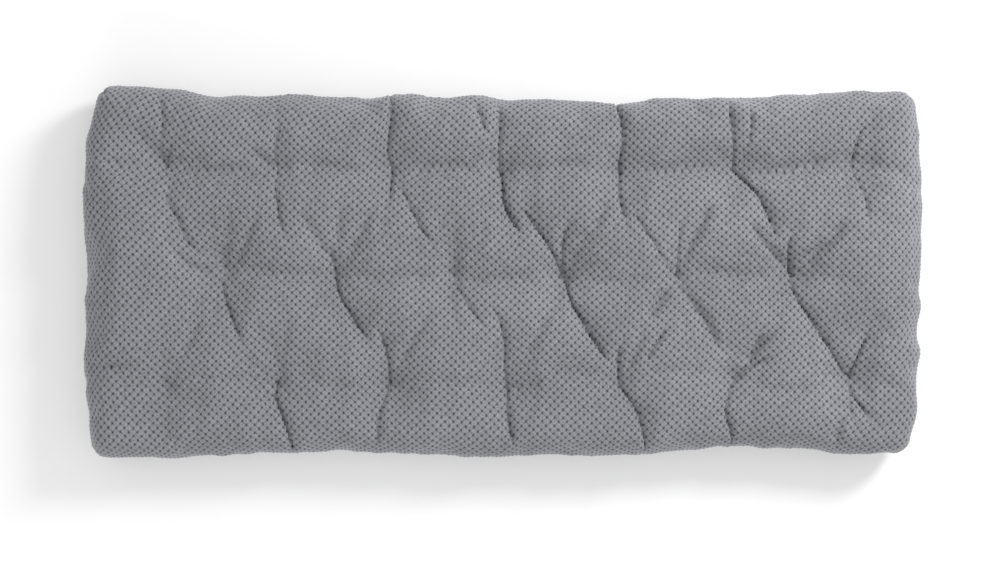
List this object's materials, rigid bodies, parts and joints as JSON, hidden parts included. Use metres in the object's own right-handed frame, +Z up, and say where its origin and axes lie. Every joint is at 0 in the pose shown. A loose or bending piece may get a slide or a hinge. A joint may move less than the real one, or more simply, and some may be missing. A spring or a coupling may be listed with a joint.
{
  "type": "bench cushion",
  "caption": "Long rectangular tufted bench cushion in grey dimpled plush, stuffed, with a turned seam round its edge.",
  "frame": {"origin": "middle of the underside, on the surface that the cushion lies on", "axes": "+X along the cushion's length, +Y across it towards the rear edge, +Z up through its thickness, out of the face"},
  "size_m": [1.0259, 0.4539, 0.0774],
  "materials": {
    "plush": "matt dimpled plush"
  },
  "bodies": {
    "root": {"cushion": "plush"}
  },
  "joints": []
}
